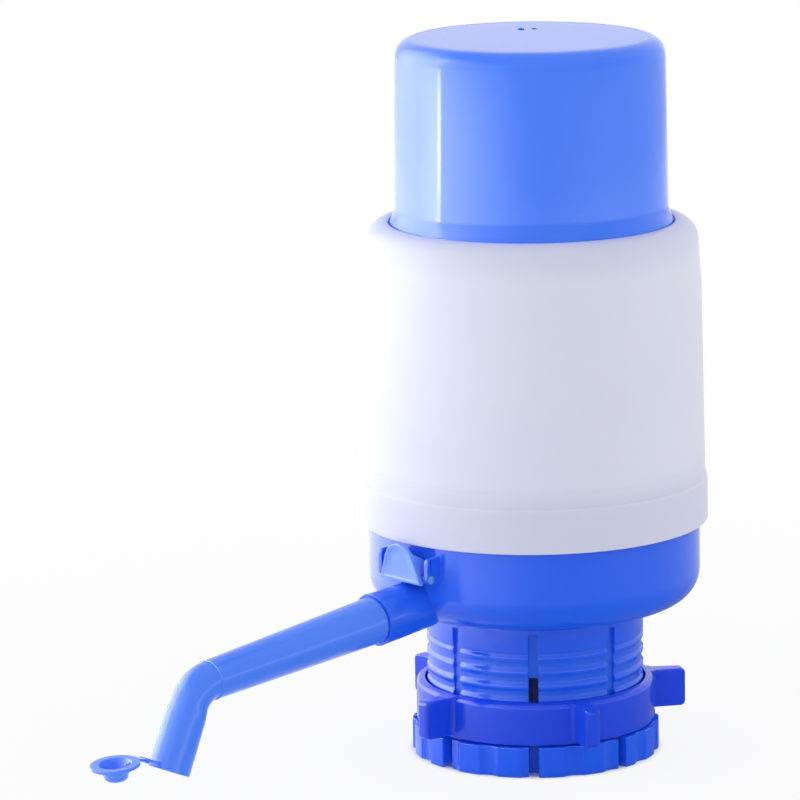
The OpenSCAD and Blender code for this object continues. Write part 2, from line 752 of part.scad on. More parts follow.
module bellows_ring() color(milk) difference() {
    translate([0, 0, plate_top]) cylinder(h = ring_top - plate_top, r = ring_r);
    translate([0, 0, plate_top - cut_over])
        cylinder(h = ring_top - plate_top + 2 * cut_over, r = ring_in_r);
    translate([0, 0, plate_top - cut_over]) cylinder(h = ring_z - plate_top + cut_over, r = ring_foot_r);
    at_screws(plate_top - cut_over)
        cylinder(h = ring_top - plate_top + 2 * cut_over, r = screw_r + slide_gap);
}

// Puts a screw's part at each screw's place, at the height z
module at_screws(z) for (i = [0:screw_count - 1])
    rotate(360 * (i + 0.5) / screw_count) translate([screw_pos, 0, z]) children();

module ring_screws() color(steel) at_screws(screw_tip_z) difference() {
    union() {
        cylinder(h = screw_len, r = screw_r);
        translate([0, 0, screw_len]) cylinder(h = screw_head_t, d = screw_head_d);
    }
    for (a = [0, 90]) rotate(a)
        translate([-screw_r, -screw_slot_w / 2, screw_len + screw_head_t / 2])
            cube([screw_d, screw_slot_w, screw_head_t]);
}

module valve_plate() color(milk) difference() {
    union() {
        translate([0, 0, ledge_z]) cylinder(h = plate_t, r = plate_r);
        spring_boss(plate_top);
    }
    valve_holes(ledge_z);
    at_screws(screw_tip_z - slide_gap) cylinder(h = screw_len, r = screw_r + slide_gap);
}

module delivery_valve() color(rubber) umbrella_valve(ledge_z);

module base_shell() rotate_extrude() polygon(concat(
    [
        [0, spigot_top],
        [spigot_bore_r, spigot_top],
        [spigot_bore_r, collar_h],
        [sleeve_r, collar_h],
    ],
    arc(edge_mid_r, edge_mid_z, base_edge_r, base_slope - 90, 0, 10),
    [
        [base_r, base_top],
        [base_in_r, base_top],
        [base_in_r, ledge_z],
        [base_in_r - ledge_w, ledge_z],
        [base_in_r - ledge_w, ledge_z - ledge_w / 2],
        [base_in_r, ledge_z - ledge_w],
    ],
    arc(edge_mid_r, edge_mid_z, edge_in_r, 0, base_slope - 90, 4),
    [
        [floor_ring_r, floor_ring_z],
        [floor_ring_r, floor_top],
        [0, floor_top],
    ]
));

// Walls of the socket and of the water passage
module passage_walls() {
    at_socket() translate([0, 0, -socket_depth - passage_wall])
        cylinder(h = socket_depth + passage_wall, r1 = socket_root_r, r2 = socket_r);
    at_socket() translate([0, 0, -passage_len - riser_r])
        cylinder(h = passage_len + riser_r - socket_depth, r = passage_out_r, $fn = 48);
    translate([0, 0, floor_top - floor_t / 2]) cylinder(h = riser_top - floor_top, r = riser_r, $fn = 48);
    translate([0, 0, nozzle_z]) cylinder(h = floor_top - nozzle_z, r = nozzle_r, $fn = 48);
}

module passage_bores() {
    at_socket() translate([0, 0, -socket_depth]) cylinder(h = socket_depth + cut_over, r = socket_bore_r);
    at_socket() translate([0, 0, -passage_len - nozzle_bore_r])
        cylinder(h = passage_len + nozzle_bore_r - socket_depth + cut_over, r = passage_r, $fn = 48);
    translate([0, 0, nozzle_z - cut_over])
        cylinder(h = passage_z - nozzle_z + cut_over, r = nozzle_bore_r, $fn = 48);
}

// The two lugs that hold the lever's pin
module lever_lugs() for (x = [-lug_x - lug_t, lug_x]) translate([x, 0, lever_pin_z]) {
    translate([0, -lever_pin_r, -lug_r]) cube([lug_t, lever_pin_r - base_in_r, lug_h]);
    translate([0, -lever_pin_r - lug_r, 0]) cube([lug_t, lug_r, lug_rise]);
    for (z = [0, lug_rise]) translate([0, -lever_pin_r, z]) rotate([0, 90, 0])
        cylinder(h = lug_t, r = lug_r, $fn = 48);
}

module base() color(deep_blue) difference() {
    union() {
        base_shell();
        passage_walls();
        lever_lugs();
        translate([0, -base_in_r, vent_z]) rotate([90, 0, 0])
            cylinder(h = base_wall + vent_seat_h, r = pad_r, $fn = 48);
    }
    passage_bores();
    translate([-pin_len / 2, -lever_pin_r, lever_pin_z]) rotate([0, 90, 0])
        cylinder(h = pin_len, r = lever_pin_radius + slide_gap / 2, $fn = 48);
    translate([0, cut_over - base_in_r, vent_z]) rotate([90, 0, 0])
        cylinder(h = base_wall + vent_seat_h + 2 * cut_over, d = vent_d, $fn = 48);
    for (i = [0:air_hole_count - 1]) rotate(90 + 360 * i / air_hole_count)
        translate([air_hole_pos, 0, spigot_top - cut_over])
            cylinder(h = floor_t + 2 * cut_over, d = air_hole_d);
}

// The tab seen from the front, a rectangle that narrows into a round top
module tab_front() polygon(concat(
    [[-tab_w / 2, tab_bottom_z], [tab_w / 2, tab_bottom_z]],
    arc(0, tab_round_z, tab_round_r, tab_tangent_angle, 180 - tab_tangent_angle, 16)
));

// The tab seen from its side
module tab_side() polygon([
    [tab_front_r - tab_t, tab_bottom_z],
    [tab_front_r, tab_bottom_z],
    [tab_front_r + tab_lean, tab_top_z],
    [tab_front_r + tab_lean - tab_t, tab_top_z],
]);

// The hub that turns about the pin, seen from its side
module hub_side() polygon([
    [lever_back_r + lever_heel, tab_bottom_z],
    [tab_front_r - tab_t / 2, tab_bottom_z],
    [tab_front_r + tab_lean - tab_t, (tab_top_z + lever_back_z) / 2],
    [lever_back_r, lever_back_z],
    [lever_back_r, lever_pin_z],
]);

module release_lever() color(blue) difference() {
    intersection() {
        rotate([90, 0, 0]) linear_extrude(height = tab_front_r + tab_lean + cut_over) tab_front();
        union() {
            across(tab_w + cut_over) tab_side();
            across(hub_w) hub_side();
        }
    }
    translate([-tab_w / 2 - cut_over, -lever_pin_r, lever_pin_z]) rotate([0, 90, 0])
        cylinder(h = tab_w + 2 * cut_over, r = lever_pin_bore_r, $fn = 48);
    translate([0, cut_over - lever_back_r, vent_z]) rotate([90, 0, 0])
        cylinder(h = pad_t + cut_over, r = pad_r + slide_gap, $fn = 48);
    translate([lever_pocket_x, -lever_pocket_r, tab_bottom_z - cut_over])
        cube([lever_pocket_w, lever_pocket_r, lever_pocket_top - tab_bottom_z + cut_over]);
}

module release_pin() color(blue) translate([-pin_len / 2, -lever_pin_r, lever_pin_z])
    rotate([0, 90, 0]) cylinder(h = pin_len, r = lever_pin_radius, $fn = 48);

module release_pad() color(rubber) translate([0, -lever_back_r, vent_z])
    rotate([90, 0, 0]) cylinder(h = pad_t, r = pad_r, $fn = 48);

// Points of the lever's spring about its pin: a leg, the coil and the second leg
lever_coil_rings = lever_coil_turns * curl_rings;
lever_path = concat(
    [[0, -lever_coil_r, -lever_leg]],
    [for (i = [0:lever_coil_rings]) let (t = 180 - 360 * i / curl_rings) [
        lever_coil_pitch * i / curl_rings,
        lever_coil_r * cos(t),
        lever_coil_r * sin(t),
    ]],
    [[lever_coil_w, lever_coil_r, -lever_leg]]
);
echo(lever_spring_gap = lever_coil_pitch - lever_wire_d);

module release_spring() color(steel) translate([lever_coil_x, -lever_pin_r, lever_pin_z])
    tube(lever_path, lever_wire_r, [1, 0, 0]);

// A straight and bent tube along the spout's middle line
module spout_body() {
    at_socket() translate([0, 0, spigot_in_z]) cylinder(h = shoulder_gap - spigot_in_z, r = spigot_out_r);
    at_socket() translate([0, 0, shoulder_gap])
        cylinder(h = arm_len - bend_tangent - shoulder_gap, r1 = arm_r, r2 = arm_tip_r);
    spout_bend(bend_out_r);
    at_leg() translate([0, 0, bend_tangent - bend_overlap])
        cylinder(h = bend_overlap + leg_blend_h, r1 = bend_out_r - bend_step, r2 = leg_top_r);
    at_leg() translate([0, 0, bend_tangent + leg_blend_h])
        cylinder(h = leg_len - bend_tangent - leg_blend_h, r1 = leg_top_r, r2 = leg_r);
}

module spout_bend(r) at_socket() translate([0, -bend_r, arm_len - bend_tangent])
    rotate([90, 0, 90]) rotate_extrude(angle = bend_angle) translate([bend_r, 0]) circle(r);

module spout_bores() {
    at_socket() translate([0, 0, spigot_in_z - cut_over])
        cylinder(h = arm_len - bend_tangent - spigot_in_z + cut_over, r = spout_bore_r);
    spout_bend(spout_bore_r - bend_step);
    at_leg() translate([0, 0, bend_tangent - bend_overlap])
        cylinder(h = leg_len - bend_tangent, r = spout_bore_r);
    at_leg() translate([0, 0, leg_len - outlet_depth]) cylinder(h = outlet_depth + cut_over, r = outlet_r);
}

// The leg's half of the strap, with the bead that the cap turns about
module strap_root() {
    at_leg() translate([-strap_w / 2, strap_root_r, leg_len - hinge_up - strap_t])
        cube([strap_w, hinge_pos - strap_root_r, strap_t]);
    at_hinge() translate([-strap_w / 2, 0, 0]) rotate([0, 90, 0])
        cylinder(h = strap_w, r = hinge_bead_r, $fn = 32);
    at_leg() translate([strap_w / 2, 0, leg_len]) rotate([90, 0, -90]) linear_extrude(height = strap_w)
        polygon([[-strap_root_r, 0], [-strap_root_r, -hinge_up], [-leg_r - 2 * strap_t, -hinge_up]]);
}

module spout_tube() color(blue) difference() {
    union() {
        spout_body();
        strap_root();
    }
    spout_bores();
    at_socket() translate([0, 0, -oring_pos - groove_w / 2]) difference() {
        cylinder(h = groove_w, r = socket_bore_r + cut_over);
        translate([0, 0, -cut_over]) cylinder(h = groove_w + 2 * cut_over, r = groove_root_r);
    }
}

module spout_seal() color(rubber) at_socket() translate([0, 0, -oring_pos])
    rotate_extrude() translate([oring_mid_r, 0]) circle(oring_r, $fn = 24);

// The closed cap, with the leg's end at z = 0
module closed_cap() {
    rotate_extrude() polygon(concat(
        [[0, -plug_h]],
        arc(plug_tip_r - plug_round_r, plug_round_r - plug_h, plug_round_r, -90, 0),
        [
            [plug_r, seat_gap],
            [cap_flange_r, seat_gap],
            [cap_flange_r, seat_gap + cap_flange_t],
            [plug_in_r + dish_draw, seat_gap + cap_flange_t],
            [plug_in_r, seat_gap],
            [plug_in_tip_r, plug_wall - plug_h],
            [0, plug_wall - plug_h],
        ]
    ));
    translate([0, hinge_pos, -hinge_up]) rotate([atan2(strap_rise, -strap_run), 0, 0])
        translate([-strap_w / 2, strap_clear, -strap_t])
            cube([strap_w, norm([strap_rise, strap_run]) - strap_clear, strap_t]);
}

module spout_cap() color(blue) at_hinge() rotate([-cap_open_angle, 0, 0])
    translate([0, -hinge_pos, hinge_up]) closed_cap();

// Outline of one thread ridge whose middle is at the height z, from below to above
function ridge(z, root, crest) = [
    [root, z - thread_foot_w / 2],
    [crest, z - thread_crest_w / 2],
    [crest, z + thread_crest_w / 2],
    [root, z + thread_foot_w / 2],
];

module collar() color(deep_blue) difference() {
    union() {
        rotate_extrude() polygon(concat(
            [
                [neck_r, 0],
                [thread_root_r, 0],
            ],
            [for (i = [thread_count - 1:-1:0]) each
                ridge(thread_top - i * thread_pitch, thread_root_r, sleeve_r)],
            [
                [sleeve_r, thread_top + thread_pitch / 2],
                [sleeve_r, collar_h],
                [spigot_r, collar_h],
                [spigot_r, spigot_top],
                [gasket_in_r, spigot_top],
                [gasket_in_r, gasket_top],
                [gasket_r + slide_gap, gasket_top],
                [gasket_r + slide_gap, neck_depth],
                [relief_r, neck_depth],
                [relief_r, neck_lip_h],
                [neck_r, neck_lip_h],
            ]
        ));
        linear_extrude(height = foot_h) difference() {
            circle(foot_r);
            circle(thread_root_r - sleeve_wall / 2);
            for (i = [0:scallop_count - 1]) rotate(360 * i / scallop_count + scallop_turn - 90)
                translate([foot_r + scallop_r - scallop_depth, 0]) circle(scallop_r, $fn = 48);
        }
    }
    for (i = [0:slot_count - 1]) rotate(360 * i / slot_count - 90) {
        translate([web_r, -slot_w / 2, -cut_over])
            cube([foot_r - web_r + cut_over, slot_w, slot_top + cut_over]);
        if (i % 2 == 0) translate([slot_root_r, -slot_w / 2, -cut_over])
            cube([foot_r - slot_root_r, slot_w, foot_h + cut_over]);
        else translate([slot_root_r, -slot_w / 2, foot_h])
            cube([foot_r - slot_root_r, slot_w, window_top - foot_h]);
    }
}

// Heights of the nut's own ridges, which lie midway between those of the collar, from above
nut_ridges = [for (i = [thread_count - 2:-1:0])
    let (z = thread_low + (i + 0.5) * thread_pitch)
    if (z > nut_z + thread_crest_w && z < nut_top - thread_crest_w) z];

// A wing seen from above, with hollow curves at its root and round edges at its end
module wing_plan() polygon(concat(
    [[nut_bore_r + nut_edge_r, -wing_root_w / 2]],
    arc(wing_root_x, -wing_root_w / 2, wing_root, 180, 90, 6),
    arc(wing_end_x, wing_tip_r - wing_t / 2, wing_tip_r, -90, 0, 4),
    arc(wing_end_x, wing_t / 2 - wing_tip_r, wing_tip_r, 0, 90, 4),
    arc(wing_root_x, wing_root_w / 2, wing_root, -90, -180, 6),
    [[nut_bore_r + nut_edge_r, wing_root_w / 2]]
));

// One wing, pointing along +X
module wing() intersection() {
    rotate([90, 0, 0]) linear_extrude(height = wing_root_w, center = true)
        rounded_end(nut_bore_r + nut_edge_r, nut_r + wing_out, wing_z, wing_z + wing_h, wing_corner_r);
    translate([0, 0, wing_z]) linear_extrude(height = wing_h) wing_plan();
}

module wing_nut() color(blue) {
    rotate_extrude() polygon(concat(
        [
            [nut_bore_r, nut_z],
            [nut_r, nut_z],
        ],
        arc(nut_r - nut_edge_r, nut_top - nut_edge_r, nut_edge_r, 0, 90, 6),
        [[nut_bore_r, nut_top]],
        [for (z = nut_ridges) each [
            [nut_bore_r, z + thread_crest_w],
            [nut_crest_r, z + thread_crest_w / 4],
            [nut_crest_r, z - thread_crest_w / 4],
            [nut_bore_r, z - thread_crest_w],
        ]]
    ));
    for (a = wing_angles) rotate(a - 90) wing();
}

module neck_gasket() color(rubber) translate([0, 0, neck_depth]) difference() {
    cylinder(h = gasket_h, r = gasket_r);
    translate([0, 0, -cut_over]) cylinder(h = gasket_h + 2 * cut_over, r = gasket_in_r);
}

module tube_coupling() color(milk) translate([0, 0, coupling_z]) difference() {
    cylinder(h = coupling_h, r = coupling_r);
    translate([0, 0, tube_stop_z - coupling_z]) cylinder(h = coupling_h, r = nozzle_r + slide_gap);
    translate([0, 0, -cut_over]) cylinder(h = tube_grip + cut_over, d = tube_bore_d);
    translate([0, 0, -cut_over]) cylinder(h = coupling_h, r = nozzle_bore_r);
}

press_cap();
bellows_top_plate();
intake_valve();
outer_cover();
bellows();
return_spring();
bellows_ring();
ring_screws();
valve_plate();
delivery_valve();
base();
release_lever();
release_pin();
release_pad();
release_spring();
spout_tube();
spout_seal();
spout_cap();
collar();
wing_nut();
neck_gasket();
tube_coupling();
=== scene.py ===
import json
import math

import bpy
from mathutils import Matrix, Vector


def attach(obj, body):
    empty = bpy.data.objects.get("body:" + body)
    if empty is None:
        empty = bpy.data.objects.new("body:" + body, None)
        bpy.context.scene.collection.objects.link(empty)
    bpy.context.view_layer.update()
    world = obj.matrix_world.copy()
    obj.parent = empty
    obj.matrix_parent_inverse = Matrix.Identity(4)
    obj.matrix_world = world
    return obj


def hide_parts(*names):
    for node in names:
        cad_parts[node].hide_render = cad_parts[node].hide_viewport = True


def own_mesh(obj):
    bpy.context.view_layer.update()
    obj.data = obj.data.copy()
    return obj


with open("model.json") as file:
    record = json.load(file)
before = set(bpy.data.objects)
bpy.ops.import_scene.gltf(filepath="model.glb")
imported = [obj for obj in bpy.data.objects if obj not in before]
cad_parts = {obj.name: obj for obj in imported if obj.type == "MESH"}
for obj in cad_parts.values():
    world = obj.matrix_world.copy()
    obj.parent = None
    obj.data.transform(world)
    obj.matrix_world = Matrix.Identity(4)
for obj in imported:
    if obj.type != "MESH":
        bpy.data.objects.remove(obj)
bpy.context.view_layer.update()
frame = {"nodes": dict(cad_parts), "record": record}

MM = 0.001
scene = bpy.context.scene


# Materials

def linear(code):
    """An sRGB hex colour as linear red, green, blue and alpha."""
    parts = [int(code[i:i + 2], 16) / 255 for i in (1, 3, 5)]
    return [c / 12.92 if c <= 0.04045 else ((c + 0.055) / 1.055) ** 2.4 for c in parts] + [1.0]


def put(tree, kind, links=(), **settings):
    """Adds one shader node with its settings and links. A setting goes to the socket of its
    name, or else to the node itself."""
    node = tree.nodes.new(kind)
    for key, value in settings.items():
        if key in node.inputs.keys():
            node.inputs[key].default_value = value
        else:
            setattr(node, key, value)
    for socket, source in links:
        tree.links.new(source, node.inputs[socket])
    return node


def material(name):
    """A new material with an empty node tree, and that tree."""
    made = bpy.data.materials.new(name)
    made.use_nodes = True
    made.node_tree.nodes.clear()
    return made, made.node_tree


def size_mm(length):
    """A noise scale from the real size of its grains in millimetres."""
    return 1 / (length * MM)


def from_to(start, end, low=0.0, high=1.0, soft=False):
    """Settings that turn the values from start to end into levels from low to high."""
    return {"interpolation_type": "SMOOTHSTEP" if soft else "LINEAR",
            "From Min": start, "From Max": end, "To Min": low, "To Max": high}


# Nearly all of a noise lies between these values
NOISE_LOW, NOISE_HIGH = 0.3, 0.7


def moulded_plastic(name, colour, flow, roughness, peel, milky, radius, depth_mm):
    """Injection moulded polypropylene: glossy, a little milky, with the slow waves that
    the melt leaves in its colour and a fine orange peel that softens its reflections."""
    made, tree = material(name)
    place = put(tree, "ShaderNodeTexCoord").outputs["Object"]
    # The melt's waves are 34 mm long, from the colour to that of the flow
    waves = put(tree, "ShaderNodeTexNoise", [("Vector", place)],
                Scale=size_mm(34), Detail=2.0, Roughness=0.5).outputs["Fac"]
    share = put(tree, "ShaderNodeMapRange", [("Value", waves)], **from_to(NOISE_LOW, NOISE_HIGH))
    tint = put(tree, "ShaderNodeMix", [("Factor", share.outputs["Result"])],
               data_type="RGBA", A=linear(colour), B=linear(flow)).outputs["Result"]
    # Moulded skin, 0.9 mm between its soft bumps
    skin = put(tree, "ShaderNodeTexNoise", [("Vector", place)],
               Scale=size_mm(0.9), Detail=1.0, Roughness=0.4).outputs["Fac"]
    bump = put(tree, "ShaderNodeBump", [("Height", skin)], Strength=peel, Distance=0.01 * MM)
    # Cooling draws the wall in over 12 mm, which bends long reflections
    draw = put(tree, "ShaderNodeTexNoise", [("Vector", place)],
               Scale=size_mm(12), Detail=1.0, Roughness=0.3).outputs["Fac"]
    bump = put(tree, "ShaderNodeBump", [("Height", draw), ("Normal", bump.outputs["Normal"])],
               Strength=peel, Distance=0.12 * MM)
    # Handling changes the gloss slowly over 6 mm
    haze = put(tree, "ShaderNodeTexNoise", [("Vector", place)],
               Scale=size_mm(6), Detail=4.0, Roughness=0.6).outputs["Fac"]
    gloss = put(tree, "ShaderNodeMapRange", [("Value", haze)],
                **from_to(NOISE_LOW, NOISE_HIGH, roughness * 0.85, roughness * 1.2))
    body = put(tree, "ShaderNodeBsdfPrincipled",
               [("Base Color", tint), ("Roughness", gloss.outputs["Result"]),
                ("Normal", bump.outputs["Normal"])],
               **{"IOR": 1.49, "Subsurface Weight": milky, "Subsurface Radius": radius,
                  "Subsurface Scale": depth_mm * MM})
    put(tree, "ShaderNodeOutputMaterial", [("Surface", body.outputs["BSDF"])])
    return made


def drawn_steel(name):
    """Drawn stainless steel wire: fine lines along the wire and a soft metal gloss."""
    made, tree = material(name)
    place = put(tree, "ShaderNodeTexCoord").outputs["Object"]
    lines = put(tree, "ShaderNodeTexNoise", [("Vector", place)],
                Scale=size_mm(0.4), Detail=2.0).outputs["Fac"]
    gloss = put(tree, "ShaderNodeMapRange", [("Value", lines)],
                **from_to(NOISE_LOW, NOISE_HIGH, 0.22, 0.42))
    body = put(tree, "ShaderNodeBsdfPrincipled", [("Roughness", gloss.outputs["Result"])],
               **{"Base Color": linear("#C4C5C9"), "Metallic": 1.0})
    put(tree, "ShaderNodeOutputMaterial", [("Surface", body.outputs["BSDF"])])
    return made


def pressed_silicone(name):
    """Pressed grey silicone rubber: matt with a fine grain."""
    made, tree = material(name)
    place = put(tree, "ShaderNodeTexCoord").outputs["Object"]
    grain = put(tree, "ShaderNodeTexNoise", [("Vector", place)],
                Scale=size_mm(0.5), Detail=3.0).outputs["Fac"]
    bump = put(tree, "ShaderNodeBump", [("Height", grain)], Strength=0.5, Distance=0.03 * MM)
    tint = put(tree, "ShaderNodeMix", [("Factor", grain)],
               data_type="RGBA", A=linear("#D9DBE0"), B=linear("#E8EAEE")).outputs["Result"]
    body = put(tree, "ShaderNodeBsdfPrincipled",
               [("Base Color", tint), ("Normal", bump.outputs["Normal"])], Roughness=0.55)
    put(tree, "ShaderNodeOutputMaterial", [("Surface", body.outputs["BSDF"])])
    return made


# How far red, green and blue light spread within the plastics, as shares of their depth
BLUE_SPREAD = (0.15, 0.3, 1.0)
MILK_SPREAD = (0.85, 0.9, 1.0)

# Each slot's plastic: name, colour, colour of its flow, roughness, orange peel, milkiness,
# spread and depth in mm. The cap is polished, the other blue parts have a satin gloss, and
# the milky ones are matt. The polyethylene of the inner parts looks like the cover's plastic
finishes = {slot: moulded_plastic(*facts) for slot, facts in {
    "blue_cap": ("moulded_blue_polypropylene_cap",
                 "#3E7CFF", "#427FFF", 0.08, 0.05, 0.3, BLUE_SPREAD, 2),
    "blue_body": ("moulded_blue_polypropylene_body",
                  "#1F65F8", "#2368FA", 0.15, 0.12, 0.6, BLUE_SPREAD, 3.2),
    "blue_spout": ("moulded_blue_polypropylene_spout",
                   "#4883FF", "#4C86FF", 0.16, 0.10, 0.3, BLUE_SPREAD, 2),
    # The lever's lighter blue is painted light, for the tab that faces the light on the left
    "blue_lever": ("moulded_blue_polypropylene_lever",
                   "#6C98FB", "#709CFD", 0.2, 0.10, 0.5, BLUE_SPREAD, 2),
    "blue_nut": ("moulded_blue_polypropylene_nut",
                 "#1A4DE4", "#1E50E6", 0.17, 0.12, 0.5, BLUE_SPREAD, 3.2),
    "milk_cover": ("moulded_milky_polypropylene_cover",
                   "#DBDEF2", "#DEE1F4", 0.34, 0.12, 0.5, MILK_SPREAD, 4),
    "milk_inner": ("moulded_natural_polyethylene_inner",
                   "#E2E4EC", "#E8E9F0", 0.4, 0.15, 0.3, MILK_SPREAD, 2),
    "milk_coupling": ("moulded_white_polypropylene_coupling",
                      "#D4D8EC", "#DCDFEF", 0.3, 0.15, 0.3, MILK_SPREAD, 2),
}.items()}
finishes["rubber_seal"] = pressed_silicone("pressed_grey_silicone")
finishes["steel"] = drawn_steel("drawn_stainless_steel")

# The cover's wall mirrors little. Painted shade gives its skirt and its shoulder deeper tones,
# where less light reaches them, each between two heights in metres
tree = finishes["milk_cover"].node_tree
wall = tree.nodes["Principled BSDF"]
wall.inputs["Specular IOR Level"].default_value = 0.2
place = put(tree, "ShaderNodeTexCoord").outputs["Object"]
height = put(tree, "ShaderNodeSeparateXYZ", [("Vector", place)]).outputs["Z"]
tint = wall.inputs["Base Color"].links[0].from_socket
# Painted shade: the skirt darkens below 84 mm and the shoulder above 136 mm
for start, end, painted_shade in ((0.084, 0.076, "#D3D6EB"), (0.136, 0.146, "#D0D4EB")):
    shaded_band = put(tree, "ShaderNodeMapRange", [("Value", height)],
                 **from_to(start, end, soft=True)).outputs["Result"]
    tint = put(tree, "ShaderNodeMix", [("Factor", shaded_band), ("A", tint)],
               data_type="RGBA", B=linear(painted_shade)).outputs["Result"]
tree.links.new(tint, wall.inputs["Base Color"])

slots = {part["node"]: part["material_slot"] for part in frame["record"]["subparts"]}
for node, slot in slots.items():
    frame["nodes"][node].data.materials.clear()
    frame["nodes"][node].data.materials.append(finishes[slot])


# Tools for the pieces. Sizes and places are in millimetres

# Edges are rounded where faces meet at more than the first angle in degrees, and shaded
# sharp above the second
ROUNDED_ABOVE = 32
SHARP_ABOVE = 35
# A dent's depth, how many times longer than wide it is, and its turn about the height
DENT_DEPTH = 1.2
DENT_LENGTH = 2.4
DENT_TURN = math.radians(46)
# Widths and depths of the steps that dish the lever's front, the rim first
DISH_STEPS = ((0.65, 0), (0.35, 0.2), (0.9, 0.2), (0.9, 0.08))
# Radii and heights between which the nut's wings have their hollow roots
ROOT_RADII = (31.0, 34.8)
ROOT_HEIGHTS = (9.4, 20.25)


def only(piece):
    """Selects one object and makes it the active one."""
    bpy.ops.object.select_all(action="DESELECT")
    bpy.context.view_layer.objects.active = piece
    piece.select_set(True)


def modify(piece, kind, **settings):
    """Adds one modifier and applies it."""
    only(piece)
    step = piece.modifiers.new("step", kind)
    for key, value in settings.items():
        setattr(step, key, value)
    bpy.ops.object.modifier_apply(modifier=step.name)


def even(piece):
    """Smooth shading that keeps flat faces flat beside their rounded edges."""
    only(piece)
    bpy.ops.object.shade_smooth_by_angle(angle=math.radians(SHARP_ABOVE))
    modify(piece, "WEIGHTED_NORMAL", keep_sharp=True, weight=80)


def stand_in(piece, node, body):
    """A new piece takes a node's place, with its finish and the body it moves with."""
    piece.data.materials.clear()
    piece.data.materials.append(finishes[slots[node]])
    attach(piece, body)
    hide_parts(node)


def straight(start, end, steps):
    """Points of a straight run in a side view, as radius and height, without its start."""
    return [tuple(a + (b - a) * i / steps for a, b in zip(start, end))
            for i in range(1, steps + 1)]


def arc(mid_r, mid_z, r, start, end, steps):
    """Points of an arc in a side view, as radius and height."""
    turn = [math.radians(start + (end - start) * i / steps) for i in range(steps + 1)]
    return [(mid_r + r * math.cos(t), mid_z + r * math.sin(t)) for t in turn]


def turned(name, rings, sides=160):
    """A moulded shell of revolution. A circle is drawn from ring to ring, out and back
    in along the wall; a first and last ring at the same place close it."""
    bpy.ops.object.select_all(action="DESELECT")
    radius, height = rings[0]
    bpy.ops.mesh.primitive_circle_add(vertices=sides, radius=radius * MM,
                                      location=(0, 0, height * MM))
    piece = bpy.context.object
    piece.name = name
    bpy.ops.object.transform_apply(location=True, rotation=True, scale=True)
    bpy.ops.object.mode_set(mode="EDIT")
    bpy.ops.mesh.select_all(action="SELECT")
    for r, z in rings[1:]:
        bpy.ops.mesh.extrude_region_move(
            TRANSFORM_OT_translate={"value": (0, 0, (z - height) * MM)})
        bpy.ops.transform.resize(value=(r / radius, r / radius, 1),
                                 center_override=(0, 0, z * MM))
        radius, height = r, z
    bpy.ops.mesh.select_all(action="SELECT")
    bpy.ops.mesh.remove_doubles(threshold=0.004 * MM)
    # The small rings at the poles are still open, and are closed here
    bpy.ops.mesh.select_all(action="DESELECT")
    bpy.ops.mesh.select_mode(type="EDGE")
    bpy.ops.mesh.select_non_manifold(extend=False)
    bpy.ops.mesh.fill_holes(sides=0)
    bpy.ops.mesh.select_mode(type="VERT")
    bpy.ops.mesh.select_all(action="SELECT")
    bpy.ops.mesh.normals_make_consistent(inside=False)
    bpy.ops.object.mode_set(mode="OBJECT")
    return piece


def dent(piece, place, radius):
    """A sunk mark in a flat face: a small long prism, narrower below, is cut out of it. Half
    of the prism stands above the face."""
    bpy.ops.object.select_all(action="DESELECT")
    bpy.ops.mesh.primitive_cone_add(
        vertices=7, radius1=radius * 0.7 * MM, radius2=radius * MM, depth=2 * DENT_DEPTH * MM,
        location=Vector(place) * MM, rotation=(0, 0, DENT_TURN), scale=(1, DENT_LENGTH, 1))
    tool = bpy.context.object
    bpy.ops.object.transform_apply(location=True, rotation=True, scale=True)
    modify(piece, "BOOLEAN", operation="DIFFERENCE", solver="EXACT", object=tool)
    bpy.data.objects.remove(tool, do_unlink=True)


def merged(node, name):
    """A copy of a CAD part whose loose triangles are joined."""
    piece = bpy.data.objects.new(name, frame["nodes"][node].data.copy())
    scene.collection.objects.link(piece)
    only(piece)
    bpy.ops.mesh.customdata_custom_splitnormals_clear()
    bpy.ops.object.mode_set(mode="EDIT")
    bpy.ops.mesh.select_all(action="SELECT")
    bpy.ops.mesh.remove_doubles(threshold=0.001 * MM)
    bpy.ops.object.mode_set(mode="OBJECT")
    return piece


def dish_front(piece):
    """Dishes the largest flat face that looks to the front, within a raised rim."""
    front = max((face for face in piece.data.polygons if face.normal.y < -0.9),
                key=lambda face: face.area)
    for part in (piece.data.vertices, piece.data.edges, piece.data.polygons):
        part.foreach_set("select", [False] * len(part))
    front.select = True
    only(piece)
    bpy.ops.object.mode_set(mode="EDIT")
    bpy.ops.mesh.select_mode(type="FACE")
    for width, depth in DISH_STEPS:
        bpy.ops.mesh.inset(thickness=width * MM, depth=-depth * MM)
    bpy.ops.object.mode_set(mode="OBJECT")


def at_wing_root(middle):
    """Edges of the nut beside its wings' hollow roots, which are too fine to round."""
    radius, height = Vector(middle[:2]).length / MM, middle[2] / MM
    return ROOT_RADII[0] < radius < ROOT_RADII[1] and ROOT_HEIGHTS[0] < height < ROOT_HEIGHTS[1]


